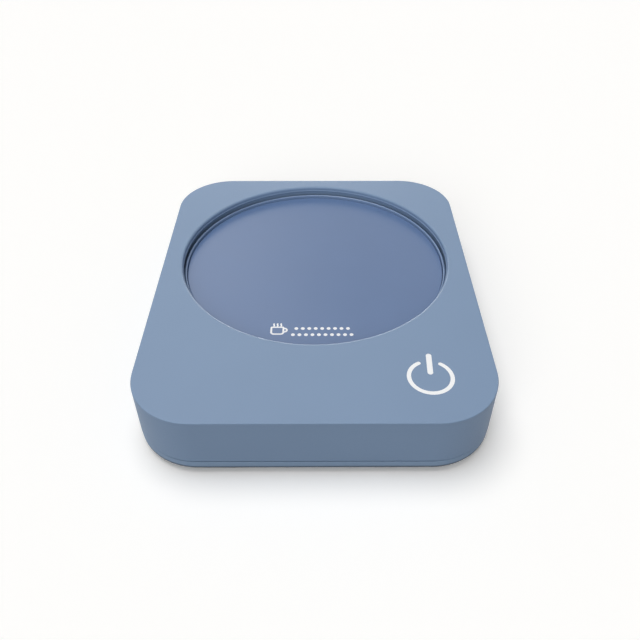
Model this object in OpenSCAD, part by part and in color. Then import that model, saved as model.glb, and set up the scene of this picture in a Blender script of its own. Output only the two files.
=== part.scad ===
// Electric mug warmer: a flat square-cornered housing with a round heated well at the back,
// a touch key at the front right and a USB-C power inlet in the rear wall.
// Millimetres. +Z is up, +Y is the back, and the origin is under the middle of the body,
// on the surface that the feet stand on.

/* [Body] */
// Width of the body, left to right
body_w = 110.2; // [109:0.2:140]
// Depth of the body, front to back
body_d = 134.8; // [133:0.1:165]
// Height of the body, without its feet
body_h = 21.1; // [20.5:0.1:27]
// Radius of the upright corners, seen from above
corner_r = 20; // [14:0.5:21]
// Thickness of the side walls
wall_t = 2.2; // [1.8:0.1:2.8]
// Thickness of the cover's top
top_t = 2.5; // [2:0.1:3]
// Rounding of the cover's top edge
edge_r = 0.3; // [0.2:0.1:1.6]
// Height of the base that shows below the seam
base_band_h = 3.7; // [3:0.1:4.2]
// Open width of the seam between the cover and the base
seam_gap = 0.3; // [0.2:0.1:0.6]
// How far the base stands back from the cover's sides
base_inset = 0; // [0:0.1:0.6]
// How much rounder the base's upright corners are than the cover's
base_corner_more = 1; // [0:0.1:2]
// Rounding of the base's lower edge
base_edge_r = 1.5; // [0.5:0.1:2]
// Thickness of the base's floor
floor_t = 2.2; // [1.8:0.1:2.4]

/* [Heated well] */
// Diameter of the round opening in the cover
opening_d = 96.8; // [80:0.2:97.4]
// Distance from the opening to the back of the body
rear_margin = 5.6; // [4.9:0.1:8]
// Rounding of the opening's top edge
opening_edge_r = 0.4; // [0.2:0.1:0.8]
// Depth of the step inside the opening below the cover's top
step_drop = 1.5; // [1:0.1:1.8]
// Width of the step
step_w = 0.2; // [0.1:0.05:0.5]
// Thickness of the step's edge, above the groove that runs round under it
step_t = 0.4; // [0.3:0.1:0.7]
// Depth of the groove behind the step's edge
groove_w = 1; // [0.6:0.1:1.2]
// Wall of the collar that hangs below the opening, behind the groove
collar_t = 1.4; // [1.2:0.1:1.8]
// Open ring between the step's edge and the plate's surround
ring_gap = 0.2; // [0.1:0.05:0.4]
// Depth of the surround's lip below the cover's top
lip_drop = 3.4; // [2.4:0.1:3.8]
// Width of the lip's top
lip_w = 0.7; // [0.5:0.1:1.2]
// Height of the lip above the plate
lip_h = 1.1; // [0.5:0.1:1.3]
// Thickness of the heating plate
plate_t = 1.5; // [1:0.1:1.6]

/* [Heater] */
// Thickness of the heater film
film_t = 0.3; // [0.2:0.05:0.4]
// Thickness of the insulation under the film
pad_t = 2.8; // [2.6:0.1:3]
// Thickness of the sheet-metal heat shield
shield_t = 0.6; // [0.4:0.1:0.8]
// Distance from one turn of the track to the next
track_pitch = 2.9; // [2.4:0.1:3]
// Width of the track
track_w = 1.6; // [1:0.1:1.9]

/* [Touch key] */
// Distance from the key's centre to the right side
key_side = 20.3; // [19:0.1:24]
// Distance from the key's centre to the front
key_front = 17.6; // [16.5:0.1:21]
// Diameter of the lit key area
key_d = 16.4; // [14:0.1:17]
// Thickness of the cover's top over the key
key_skin_t = 1.2; // [0.8:0.1:1.6]
// Wall of the light shroud round the key
shroud_t = 0.8; // [0.6:0.1:1]

/* [Boards] */
// Width of the main board
board_w = 78; // [74:0.5:80]
// Depth of the main board
board_d = 21.5; // [21:0.1:21.9]
// Thickness of the main board
board_t = 1.6; // [1:0.2:1.6]
// Height of the posts that carry the main board
board_post_h = 2.5; // [2.2:0.1:3]
// Height of the USB-C inlet's centre above the base's underside
inlet_h = 9.2; // [9:0.1:9.5]

/* [Fixings and feet] */
// Diameter of the case screws' shanks
case_screw_d = 2.6; // [2:0.1:3]
// Diameter of the smaller screws' shanks
small_screw_d = 2; // [1.6:0.1:2.4]
// Distance from the rear case screws to the sides and to the back
rear_screw_in = 10.5; // [10:0.1:12]
// Distance from the front case screws to the sides
front_screw_side = 7.8; // [7.6:0.1:9]
// Distance from the front case screws to the front
front_screw_back = 31; // [30.5:0.1:36]
// Diameter of the rubber feet
foot_d = 12; // [8:0.5:13]
// How far the feet stand out of the base
foot_h = 1.4; // [1:0.1:3]
// Distance from the feet's centres to the body's sides
foot_in = 19; // [18:0.5:24]
// Width of the vent slots in the floor
vent_w = 2; // [1.2:0.1:2.6]

/* [Hidden] */

$fn = 64;
eps = 0.01;              // overlap that keeps cuts and joins clean
fit = 0.1;               // clearance between pieces that seat in each other
shank_fit = 0.05;        // clearance of a screw's shank in its hole
rib_t = 1.2;             // thickness of moulded ribs

// Heights
z_base = foot_h;
z_floor = z_base + floor_t;
z_seam = z_base + base_band_h;
z_cover = z_seam + seam_gap;
z_top = z_base + body_h;
z_ceiling = z_top - top_t;
z_step = z_top - step_drop;
z_groove = z_step - step_t;          // top of the groove
z_lip = z_top - lip_drop;
z_plate = z_lip - lip_h;
z_seat = z_plate - plate_t;
z_film = z_seat - film_t;
z_pad = z_film - pad_t;
z_shield = z_pad - shield_t;

// The well
opening_r = opening_d / 2;
well_y = body_d / 2 - rear_margin - opening_r;
step_r = opening_r - step_w;
groove_r = step_r + groove_w;
collar_r = groove_r + collar_t;
lip_r = step_r - ring_gap;
plate_r = lip_r - lip_w - fit;

// Surround of the plate
ledge_w = 2.6;                       // ledge under the plate's edge
ledge_t = 1.2;
ledge_r = plate_r - ledge_w;
flange_t = 1.5;                      // flange that the ear screws pull up
flange_up = 0.3;                     // flange top above the plate's seat
flange_r = collar_r + 0.2;
z_flange = z_seat + flange_up;
gasket_t = 0.6;
z_collar = z_flange + gasket_t;      // lower end of the collar
lip_round = 0.25;
ear_reach = 4.5;                     // ear screws outside the collar
ear_r = 3.2;
ear_angles = [30, 150, 225, 315];
ear_circle_r = collar_r + ear_reach;
ear_boss_r = 2.8;

// Plate bosses and shield
plate_boss_r = 2.4;
plate_boss_gap = 0.4;
plate_boss_at = opening_r - 11.2;
plate_boss_angles = [20, 160, 300];
film_r = ledge_r - 0.4;
well_r = film_r - 0.6;               // flat middle of the shield
pad_r = well_r - 0.7;
shield_r = plate_r - 0.3;

// Lead channel in the insulation, and where the leads leave it
channel_w = 12;
channel_back = 5;                    // channel end behind the well's centre
grommet_y = well_y - (opening_r - 10.4);
grommet_hole_r = 3.2;
grommet_r = 4;
grommet_bore_r = 2.6;
grommet_lip = 0.5;

// Heater track: an odd number of turns, as many as clear the plate's bosses
track_r = 8;
track_gap = 5;                       // half width of the gap in each turn
track_t = 0.15;
track_room = plate_boss_at - plate_boss_r - plate_boss_gap - track_r - track_w / 2 - 0.5;
track_turns = 2 * floor(track_room / track_pitch / 2) + 1;
track_end_r = track_r + (track_turns - 1) * track_pitch;
track_pad = 3;
inner_pad_y = well_y - sqrt(track_r * track_r - track_gap * track_gap);
outer_pad_y = well_y - sqrt(track_end_r * track_end_r - track_gap * track_gap);
z_track = z_film - track_t;

// Thermal fuse, crimped to a lead, and the thermistor, both in the channel
fuse_r = 1.1;
fuse_l = 8.5;
fuse_lead_l = 4;
fuse_lead_r = 0.35;
fuse_x = -(channel_w / 2 - 1.8);
fuse_y = inner_pad_y - fuse_lead_l - fuse_l;      // front end of its body
crimp_r = 0.9;
crimp_l = 3;
crimp_y = fuse_y - fuse_lead_l - crimp_l + 1;     // front end
z_fuse = z_track - fuse_r - fit;
bead_r = 1.1;
bead_l = 4;
bead_y = well_y - bead_l;
z_bead = z_track - bead_r - fit;

// Key
key_x = body_w / 2 - key_side;
key_y = -body_d / 2 + key_front;
shroud_r = key_d / 2 + shroud_t;

// Main board
board_x = key_x + shroud_r + 0.4 - board_w;       // left edge
board_y = key_y - board_d / 2 - 0.5;              // front edge
z_board = z_floor + board_post_h;
z_parts = z_board + board_t;
board_corner_r = 3;
board_hole_at = [
    for (x = [4, 54], y = [3.6, board_d - 3.6]) [board_x + x, board_y + y]
];

// Sockets at the board's back edge, measured from its left edge
conn_w = 8;
conn_h = 5;
conn_l = 7;
small_conn_w = 6;
small_conn_h = 4;
supply_conn_x = 12;
heater_conn_x = 26;
sensor_conn_x = 39;
conn_pin = 1.4;                      // how far a lead goes in
conn_back = 0.4;                     // socket's mouth in from the board's edge
conn_y = board_y + board_d - conn_back;

// Touch spring and lamps
spring_r = 4.2;
spring_wire_r = 0.35;
spring_turns = 6;
led_circle_r = 6.4;
led_size = [2.8, 3.5, 1.8];

// Inlet
z_inlet = z_base + inlet_h;
usb_w = 8.94;
usb_h = 3.26;
usb_l = 7.35;
usb_wall = 0.3;
usb_setback = 0.8;                   // mouth behind the rear face
usb_hole_gap = 0.3;
usb_back_t = 1.2;                    // solid back end of the socket
usb_tongue = [6.7, 5.4, 0.7];
plug_pocket = [12.6, 6.6];
plug_pocket_depth = 0.7;
inlet_board_w = 17;
inlet_board_d = 14;
inlet_board_t = 1;
usb_y = body_d / 2 - usb_setback;    // mouth
inlet_board_y = body_d / 2 - wall_t - 0.2;
inlet_front = inlet_board_y - inlet_board_d;
z_inlet_board = z_inlet - usb_h / 2 - inlet_board_t;
inlet_screw_at = [for (side = [-1, 1]) [side * 6, inlet_front + 3]];

// Screws and bosses
case_head_d = 4.8;
case_head_h = 1.6;
case_screw_l = 12;
case_boss_r = 3.1;
base_boss_r = 3.6;
z_head = z_base + 3.4;               // underside of a case screw's head seat
z_boss = z_head + 3.2;               // where the bosses meet
small_head_d = 3.8;
small_head_h = 1.4;
ear_screw_l = 4.8;
shield_screw_l = 3.4;
shield_head_h = 1;
board_screw_l = 4;
post_r = 2.6;

// Case screws: x and y on the right side, the way to the nearest wall, and how far it is
case_screws_right = [
    [body_w / 2 - rear_screw_in, body_d / 2 - rear_screw_in, 45,
        corner_r - wall_t / 2 - sqrt(2) * (corner_r - rear_screw_in)],
    [body_w / 2 - front_screw_side, -body_d / 2 + front_screw_back, 0,
        front_screw_side - wall_t / 2]
];
case_screw_at = [
    for (side = [1, -1], p = case_screws_right) [side * p[0], p[1]]
];
foot_at = [
    for (x = [-1, 1], y = [-1, 1])
        [x * (body_w / 2 - foot_in), y * (body_d / 2 - foot_in)]
];
foot_seat = 0.6;                     // depth of the seats in the base

// Tongue of the base inside the cover
tongue_t = 1.2;
tongue_gap = 0.15;
tongue_h = 2;                        // above the seam
tongue_in = wall_t + tongue_gap;

// Vents
vent_count = 9;
vent_pitch = 5;
vent_field_r = 26;
vent_bar = 3;                        // bar across the middle of the slots

// Leads
supply_wire_r = 0.8;
heater_wire_r = 0.6;
sensor_wire_r = 0.4;
z_lane = z_floor + 3.6;
lane_x = -body_w / 2 + 13;
lane_step = supply_wire_r + 0.15;
supply_peg_y = [well_y + 6, well_y - 8];
peg_r = 0.9;
supply_x = board_x + supply_conn_x;
heater_x = board_x + heater_conn_x;
sensor_x = board_x + sensor_conn_x;
z_conn = z_parts + conn_h / 2;
z_small_conn = z_parts + small_conn_h / 2;
z_channel = z_pad + 1.2;

// The two supply leads lie one over the other along the left side
function supply_route(side) =
    let (z = z_lane + side * lane_step, pin_x = supply_x + side * conn_w / 5)
    [
        [side * 2.2, inlet_front + 1.6, z_inlet_board - supply_wire_r - 0.05],
        [side * 2.2, inlet_front - 1.5, z_inlet_board - supply_wire_r - 0.1],
        [-6 + side * 1.4, inlet_front - 5, z],
        [-16, inlet_front - 8, z],
        [lane_x + 14, inlet_front - 12, z],
        [lane_x + 5, inlet_front - 19, z],
        [lane_x, well_y + 12, z],
        [lane_x, well_y, z],
        [lane_x, well_y - 14, z],
        [lane_x + 4, conn_y + 24, z],
        [supply_x - 10 + side, conn_y + 14, z],
        [pin_x - 1, conn_y + 6.5, z_conn + side * 0.5],
        [pin_x, conn_y + 2.5, z_conn],
        [pin_x, conn_y - conn_pin, z_conn]
    ];

// Down through the grommet and forward to a socket, dropping to z_low on the way.
// The two leads of a pair, at x and -x in the grommet, run side by side.
function down_to_socket(x, y, socket_x, pin, z_low, z_pin) =
    let (
        run = [socket_x, conn_y - grommet_y] / norm([socket_x, conn_y - grommet_y]),
        beside = -run[1] * x,
        behind = run[0] * x
    )
    [
        [x, grommet_y + y + 0.2, z_shield + 0.6],
        [x, grommet_y + y, z_shield - 0.8],
        [x, grommet_y + y - 0.2, z_low + 1.2],
        [socket_x * 0.15 + beside, grommet_y + y - 2 + behind, z_low],
        [socket_x * 0.75 + beside, (grommet_y + conn_y) / 2 - 1 + behind, (z_low + z_pin) / 2],
        [socket_x + pin, conn_y + 3.5, z_pin],
        [socket_x + pin, conn_y - conn_pin, z_pin]
    ];

function heater_route(side) =
    let (
        end_x = side > 0 ? track_gap - 1 : fuse_x,
        end_y = side > 0 ? outer_pad_y : crimp_y - fit,
        bend_y = grommet_y + 1.8
    )
    concat(
        [
            for (t = [0, 0.2, 0.4]) [end_x, end_y + (bend_y - end_y) * t, z_fuse],
            [side * 2.2, bend_y, z_channel]
        ],
        down_to_socket(side * 1.55, -0.3, heater_x, side * conn_w / 5, z_conn - 1.2, z_conn)
    );

function sensor_route(side) =
    let (x = side * 0.55)
    concat(
        [
            [x, bead_y - 0.05, z_bead],
            [x, bead_y - 10, z_channel + 0.2],
            [x, grommet_y + 10, z_channel],
            [x, grommet_y + 3, z_channel],
            [x, grommet_y + 1.8, z_channel - 0.2]
        ],
        down_to_socket(x, 1, sensor_x, side * small_conn_w / 5, z_small_conn - 2.4, z_small_conn)
    );

// Colours
blue = [0.5, 0.58, 0.69];
plate_blue = [0.45, 0.53, 0.65];
rubber_grey = [0.25, 0.27, 0.3];
steel = [0.75, 0.76, 0.78];
copper = [0.76, 0.5, 0.32];
board_green = [0.13, 0.4, 0.25];
chip_black = [0.12, 0.12, 0.13];
nylon_white = [0.92, 0.92, 0.88];

// ---- Shapes ---------------------------------------------------------------

// Rounded rectangle about the origin
module rounded_plan(w, d, r) {
    square([w - 2 * r, d], center = true);
    square([w, d - 2 * r], center = true);
    for (x = [-1, 1], y = [-1, 1])
        translate([x * (w / 2 - r), y * (d / 2 - r)]) circle(r);
}

// Outer strip of a block's section, with its top edge rounded by e
module edge_section(reach, h, e) {
    square([reach, h - e]);
    square([reach - e, h]);
    translate([reach - e, h - e]) circle(e);
}

// Rounded rectangular block on z = 0 whose top edge is rounded by e
module soft_block(w, d, r, h, e) {
    half_w = w / 2 - r;
    half_d = d / 2 - r;
    translate([-half_w, -half_d, 0]) cube([2 * half_w, 2 * half_d, h]);
    for (turn = [0, 180]) rotate(turn) {
        translate([half_w, half_d, 0])
            rotate([90, 0, 0]) linear_extrude(2 * half_d) edge_section(r, h, e);
        translate([-half_w, half_d, 0])
            rotate([90, 0, 90]) linear_extrude(2 * half_w) edge_section(r, h, e);
    }
    for (x = [0, 1], y = [0, 1]) mirror([x, 0, 0]) mirror([0, y, 0])
        translate([half_w, half_d, 0])
            rotate_extrude(angle = 90) edge_section(r, h, e);
}

// Slot with round ends, along X, about the origin
module stadium(l, w) {
    square([l - w, w], center = true);
    for (x = [-1, 1]) translate([x * (l - w) / 2, 0]) circle(w / 2);
}

module tube(r_out, r_in, h) {
    difference() {
        cylinder(r = r_out, h = h);
        translate([0, 0, -eps]) cylinder(r = r_in, h = h + 2 * eps);
    }
}

// Places its children at each point of a list
module at(points) {
    for (p = points) translate([p[0], p[1], 0]) children();
}

// Places its children on a circle round the well's centre
module round_well(r, angles) {
    translate([0, well_y, 0])
        for (a = angles) rotate(a) translate([r, 0, 0]) children();
}

// Pan-head screw pointing up, its head's seat at z = 0
module pan_screw(d, l, head_d, head_h) {
    cross_w = head_d / 6;
    cross_l = head_d * 0.55;
    difference() {
        union() {
            cylinder(d = d, h = l - d / 2);
            translate([0, 0, l - d / 2]) cylinder(d1 = d, d2 = d / 3, h = d / 2);
            mirror([0, 0, 1]) rotate_extrude() intersection() {
                square([head_d / 2, head_h]);
                translate([0, head_h - head_d]) circle(head_d);
            }
        }
        translate([0, 0, -head_h]) for (turn = [0, 90]) rotate(turn)
            cube([cross_l, cross_w, head_h * 1.2], center = true);
    }
}

// ---- Swept wires ----------------------------------------------------------

function unit(v) = v / norm(v);
function heading(path, i) =
    unit(path[min(i + 1, len(path) - 1)] - path[max(i - 1, 0)]);
function squared_to(v, along) = unit(v - (v * along) * along);
function start_across(along) = squared_to(abs(along[2]) < 0.7 ? [0, 0, 1] : [1, 0, 0], along);

// Direction across the path at each of its first i + 1 points, carried along without a twist
function carried(path, i) =
    i == 0 ? [start_across(heading(path, 0))]
    : let (before = carried(path, i - 1))
        concat(before, [squared_to(before[i - 1], heading(path, i))]);

// Catmull-Rom curve through the points, with `steps` pieces for each stretch
function curve_point(a, b, c, d, t) =
    0.5 * (2 * b + (c - a) * t + (2 * a - 5 * b + 4 * c - d) * t * t
        + (3 * b - a - 3 * c + d) * t * t * t);
function smooth_path(p, steps) = [
    for (i = [0 : len(p) - 2], k = [0 : steps - 1])
        curve_point(p[max(i - 1, 0)], p[i], p[i + 1], p[min(i + 2, len(p) - 1)], k / steps),
    p[len(p) - 1]
];

module wire(path, r, sides = 8) {
    across = carried(path, len(path) - 1);
    rings = [
        for (i = [0 : len(path) - 1])
            let (along = heading(path, i), up = cross(along, across[i]))
                for (k = [0 : sides - 1])
                    path[i] + r * (cos(360 * k / sides) * across[i] + sin(360 * k / sides) * up)
    ];
    last = (len(path) - 1) * sides;
    faces = [
        [for (k = [0 : sides - 1]) k],
        for (i = [0 : len(path) - 2], k = [0 : sides - 1])
            let (a = i * sides + k, b = i * sides + (k + 1) % sides)
                [a, a + sides, b + sides, b],
        [for (k = [sides - 1 : -1 : 0]) last + k]
    ];
    polyhedron(points = rings, faces = faces, convexity = 6);
}

// ---- Housing --------------------------------------------------------------

// Cutter of the opening: the step, the groove under it, and the flare that rounds the top edge
module opening_cut() {
    translate([0, well_y, 0]) rotate_extrude() {
        translate([0, z_flange]) square([step_r, body_h]);
        translate([0, z_flange]) square([groove_r, z_groove - z_flange]);
        translate([0, z_step]) square([opening_r, step_drop + 1]);
        difference() {
            translate([opening_r - eps, z_top - opening_edge_r])
                square([opening_edge_r + eps, opening_edge_r + 1]);
            translate([opening_r + opening_edge_r, z_top - opening_edge_r])
                circle(opening_edge_r);
        }
    }
}

module cover_shell() {
    difference() {
        translate([0, 0, z_cover])
            soft_block(body_w, body_d, corner_r, z_top - z_cover, edge_r);
        translate([0, 0, z_cover - 1]) linear_extrude(z_ceiling - z_cover + 1)
            rounded_plan(body_w - 2 * wall_t, body_d - 2 * wall_t, corner_r - wall_t);
    }
}

// Case screw bosses, each tied to the nearest wall by a rib
module cover_bosses() {
    rib_up = 2;
    for (side = [0, 1], p = case_screws_right)
        mirror([side, 0, 0]) translate([p[0], p[1], z_boss]) rotate(p[2]) {
            cylinder(r = case_boss_r, h = z_ceiling - z_boss + eps);
            translate([0, -rib_t / 2, rib_up])
                cube([p[3], rib_t, z_ceiling - z_boss - rib_up + eps]);
        }
    round_well(ear_circle_r, ear_angles)
        translate([0, 0, z_flange])
            cylinder(r = ear_boss_r, h = z_ceiling - z_flange + eps);
}

// Ribs that stiffen the flat front of the cover
module cover_ribs() {
    rib_h = z_ceiling - z_collar - 0.2;
    front = -body_d / 2 + wall_t - eps;
    for (x = [-32, -16, 0]) {
        back = well_y - sqrt(pow(collar_r, 2) - x * x) + collar_t / 2;
        translate([x - rib_t / 2, front, z_ceiling - rib_h])
            cube([rib_t, back - front, rib_h + eps]);
    }
    translate([-32, key_y - rib_t / 2, z_ceiling - rib_h])
        cube([key_x - shroud_r - 0.8 + 32, rib_t, rib_h + eps]);
}

module top_cover() {
    color(blue) difference() {
        union() {
            difference() {
                cover_shell();
                opening_cut();
            }
            translate([0, well_y, z_collar])
                tube(collar_r, groove_r, z_ceiling - z_collar + eps);
            cover_bosses();
            cover_ribs();
            // socket that the light shroud plugs into
            translate([key_x, key_y, z_ceiling - 2])
                tube(shroud_r + fit + rib_t, shroud_r + fit, 2 + eps);
        }
        // thin skin over the key
        translate([key_x, key_y, z_ceiling - eps])
            cylinder(d = key_d, h = top_t - key_skin_t + eps);
        at(case_screw_at)
            translate([0, 0, z_boss])
                cylinder(r = case_screw_d / 2 + shank_fit, h = z_head + case_screw_l + 0.6 - z_boss);
        round_well(ear_circle_r, ear_angles)
            translate([0, 0, z_flange - eps])
                cylinder(r = small_screw_d / 2 + shank_fit,
                    h = ear_screw_l - flange_t + 0.4 + eps);
        // USB-C mouth and the shallow pocket for a plug's grip
        translate([0, body_d / 2 + eps, z_inlet]) rotate([90, 0, 0]) {
            linear_extrude(wall_t + 1)
                stadium(usb_w + 2 * usb_hole_gap, usb_h + 2 * usb_hole_gap);
            linear_extrude(plug_pocket_depth + eps) stadium(plug_pocket[0], plug_pocket[1]);
        }
    }
}

// Parallel slots that fill a circle, with a bar across its middle
module vents() {
    for (i = [0 : vent_count - 1], side = [-1, 1]) {
        x = (i - (vent_count - 1) / 2) * vent_pitch;
        l = sqrt(pow(vent_field_r, 2) - x * x) - vent_bar / 2;
        translate([x, well_y + side * (vent_bar + l) / 2, z_base - 1])
            rotate(90) linear_extrude(floor_t + 2) stadium(l, vent_w);
    }
}

// Low ribs on the floor: a ring round the vents, and spokes to the sides
module floor_ribs() {
    rib_h = 1.6;
    ring_r = vent_field_r + 5;
    spoke = body_w / 2 - tongue_in - tongue_t / 2 - ring_r;
    translate([0, well_y, z_floor - eps]) {
        tube(ring_r, ring_r - rib_t, rib_h);
        for (turn = [0, 180]) rotate(turn)
            translate([ring_r - rib_t / 2, -rib_t / 2, 0])
                cube([spoke + rib_t / 2, rib_t, rib_h]);
    }
}

// Pairs of pegs that hold the supply leads down
module lead_pegs() {
    for (y = supply_peg_y, side = [-1, 1])
        translate([lane_x + side * (supply_wire_r + peg_r + 0.3), y, z_floor - eps])
            cylinder(r = peg_r, h = z_lane + 2 * lane_step - z_floor);
}

module base_shell() {
    w = body_w - 2 * base_inset;
    d = body_d - 2 * base_inset;
    r = corner_r + base_corner_more - base_inset;
    difference() {
        union() {
            translate([0, 0, z_seam]) mirror([0, 0, 1])
                soft_block(w, d, r, base_band_h, base_edge_r);
            translate([0, 0, z_floor]) linear_extrude(z_cover + tongue_h - z_floor)
                rounded_plan(body_w - 2 * tongue_in, body_d - 2 * tongue_in,
                    corner_r - tongue_in);
        }
        inner = tongue_in + tongue_t;
        translate([0, 0, z_floor]) linear_extrude(z_cover)
            rounded_plan(body_w - 2 * inner, body_d - 2 * inner, corner_r - inner);
    }
}

module base_cover() {
    color(blue) difference() {
        union() {
            base_shell();
            at(case_screw_at) translate([0, 0, z_floor - eps])
                cylinder(r = base_boss_r, h = z_boss - z_floor + eps);
            at(board_hole_at) translate([0, 0, z_floor - eps])
                cylinder(r = post_r, h = board_post_h + eps);
            at(inlet_screw_at) translate([0, 0, z_floor - eps])
                cylinder(r = post_r, h = z_inlet_board - z_floor + eps);
            floor_ribs();
            lead_pegs();
        }
        at(case_screw_at) {
            translate([0, 0, z_base - 1])
                cylinder(d = case_head_d + 0.6, h = z_head - z_base + 1);
            translate([0, 0, z_base])
                cylinder(r = case_screw_d / 2 + 0.15, h = z_boss);
        }
        at(foot_at) translate([0, 0, z_base - 1])
            cylinder(d = foot_d + 2 * fit, h = foot_seat + 1);
        at(board_hole_at) translate([0, 0, z_floor - 0.8])
            cylinder(r = small_screw_d / 2 + shank_fit, h = board_post_h + 2);
        at(inlet_screw_at) translate([0, 0, z_inlet_board - 4])
            cylinder(r = small_screw_d / 2 + shank_fit, h = 5);
        vents();
    }
}

// ---- Heated well ----------------------------------------------------------

// Heat-resistant surround that carries the plate and keeps it off the cover
module plate_ring() {
    color(blue) difference() {
        union() {
            translate([0, well_y, 0]) rotate_extrude() {
                difference() {
                    translate([ledge_r, z_seat - ledge_t])
                        square([lip_r - ledge_r, z_lip - lip_round - z_seat + ledge_t]);
                    translate([0, z_seat]) square([plate_r + fit, z_lip]);
                }
                translate([plate_r + fit + lip_round, z_lip - lip_round - eps])
                    square([lip_w - 2 * lip_round, lip_round + eps]);
                for (r = [plate_r + fit + lip_round, lip_r - lip_round])
                    translate([r, z_lip - lip_round]) circle(lip_round);
                translate([lip_r - eps, z_flange - flange_t])
                    square([flange_r - lip_r + eps, flange_t]);
            }
            round_well(ear_circle_r, ear_angles)
                translate([0, 0, z_flange - flange_t]) {
                    cylinder(r = ear_r, h = flange_t);
                    translate([-ear_reach - collar_t / 2, -ear_r, 0])
                        cube([ear_reach + collar_t / 2, 2 * ear_r, flange_t]);
                }
        }
        round_well(ear_circle_r, ear_angles)
            translate([0, 0, z_flange - flange_t - eps])
                cylinder(r = small_screw_d / 2 + 0.15, h = flange_t + 2 * eps);
    }
}

module ring_gasket() {
    color(rubber_grey) translate([0, well_y, z_flange])
        tube(collar_r - fit, groove_r + fit, gasket_t);
}

module ring_screws() {
    color(steel) round_well(ear_circle_r, ear_angles)
        translate([0, 0, z_flange - flange_t])
            pan_screw(small_screw_d, ear_screw_l, small_head_d, small_head_h);
}

module heating_plate() {
    chamfer = 0.3;
    boss_h = film_t + pad_t;
    color(plate_blue) difference() {
        union() {
            translate([0, well_y, z_seat]) {
                cylinder(r = plate_r, h = plate_t - chamfer);
                translate([0, 0, plate_t - chamfer])
                    cylinder(r1 = plate_r, r2 = plate_r - chamfer, h = chamfer);
            }
            round_well(plate_boss_at, plate_boss_angles)
                translate([0, 0, z_pad]) cylinder(r = plate_boss_r, h = boss_h + eps);
        }
        round_well(plate_boss_at, plate_boss_angles)
            translate([0, 0, z_pad - 1])
                cylinder(r = small_screw_d / 2 + shank_fit, h = boss_h + 1);
    }
}

// Holes for the plate's bosses
module boss_clearance(h) {
    round_well(plate_boss_at, plate_boss_angles)
        cylinder(r = plate_boss_r + plate_boss_gap, h = h);
}

module heater_film() {
    color(copper) difference() {
        translate([0, well_y, z_film]) cylinder(r = film_r, h = film_t);
        translate([0, 0, z_film - 1]) boss_clearance(film_t + 2);
    }
}

// Etched track that doubles back at the gap, from the middle to the outside
module heater_track() {
    color(steel) translate([0, well_y, z_track]) rotate(-90) {
        for (i = [0 : track_turns - 1]) {
            r = track_r + i * track_pitch;
            start = asin(track_gap / r);
            rotate(start) rotate_extrude(angle = 360 - 2 * start)
                translate([r - track_w / 2, 0]) square([track_w, track_t]);
        }
        for (i = [0 : track_turns - 2]) {
            r = track_r + i * track_pitch;
            side = i % 2 == 0 ? 1 : -1;
            x = sqrt(r * r - track_gap * track_gap);
            translate([x - track_w / 2, side * (track_gap + track_w / 2) - track_w / 2, 0])
                cube([track_pitch + track_w + 0.4, track_w, track_t]);
        }
        for (end = [[well_y - inner_pad_y, -1], [well_y - outer_pad_y, 1]])
            translate([end[0], end[1] * (track_gap - 1), track_t / 2])
                cube([track_pad, track_pad, track_t], center = true);
    }
}

module insulation_pad() {
    color([0.88, 0.86, 0.8]) difference() {
        translate([0, well_y, z_pad]) difference() {
            cylinder(r = pad_r, h = pad_t - track_t);
            translate([-channel_w / 2, -film_r, -1])
                cube([channel_w, film_r + channel_back, pad_t + 2]);
        }
        translate([0, 0, z_pad - 1]) boss_clearance(pad_t + 2);
    }
}

// Sheet-metal pan that presses the insulation up and grips the ring's ledge
module heat_shield() {
    rise = z_seat - ledge_t - z_pad;
    color(steel) difference() {
        translate([0, well_y, z_shield]) rotate_extrude() polygon([
            [0, 0], [well_r, 0], [well_r + 1, rise], [shield_r, rise],
            [shield_r, rise + shield_t], [well_r + 0.5, rise + shield_t],
            [well_r - 0.5, shield_t], [0, shield_t]
        ]);
        round_well(plate_boss_at, plate_boss_angles)
            translate([0, 0, z_shield - 1])
                cylinder(r = small_screw_d / 2 + 0.15, h = shield_t + 2);
        translate([0, grommet_y, z_shield - 1])
            cylinder(r = grommet_hole_r, h = shield_t + 2);
    }
}

module shield_screws() {
    color(steel) round_well(plate_boss_at, plate_boss_angles)
        translate([0, 0, z_shield])
            pan_screw(small_screw_d, shield_screw_l, small_head_d, shield_head_h);
}

module lead_grommet() {
    color(rubber_grey) translate([0, grommet_y, z_shield - grommet_lip]) rotate_extrude()
        difference() {
            union() {
                square([grommet_r, grommet_lip]);
                square([grommet_hole_r - fit, 2 * grommet_lip + shield_t]);
                translate([0, grommet_lip + shield_t]) square([grommet_r, grommet_lip]);
            }
            translate([0, -1]) square([grommet_bore_r, 4 * grommet_lip + shield_t + 1]);
        }
}

module thermal_fuse() {
    translate([fuse_x, 0, z_fuse]) rotate([-90, 0, 0]) {
        color(nylon_white) translate([0, 0, fuse_y]) cylinder(r = fuse_r, h = fuse_l);
        color(steel) translate([0, 0, fuse_y - fuse_lead_l])
            cylinder(r = fuse_lead_r, h = fuse_l + 2 * fuse_lead_l);
        color(steel) translate([0, 0, crimp_y]) cylinder(r = crimp_r, h = crimp_l);
    }
}

module thermistor() {
    color(chip_black) translate([0, bead_y, z_bead]) {
        rotate([-90, 0, 0]) cylinder(r = bead_r, h = bead_l);
        translate([0, bead_l, 0]) sphere(bead_r);
    }
}

// ---- Main board -----------------------------------------------------------

module main_board() {
    color(board_green) difference() {
        translate([board_x + board_w / 2, board_y + board_d / 2, z_board])
            linear_extrude(board_t) rounded_plan(board_w, board_d, board_corner_r);
        at(board_hole_at) translate([0, 0, z_board - 1])
            cylinder(r = small_screw_d / 2 + 0.15, h = board_t + 2);
    }
}

module board_screws() {
    color(steel) at(board_hole_at) translate([0, 0, z_parts]) mirror([0, 0, 1])
        pan_screw(small_screw_d, board_screw_l, small_head_d, small_head_h);
}

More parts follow.
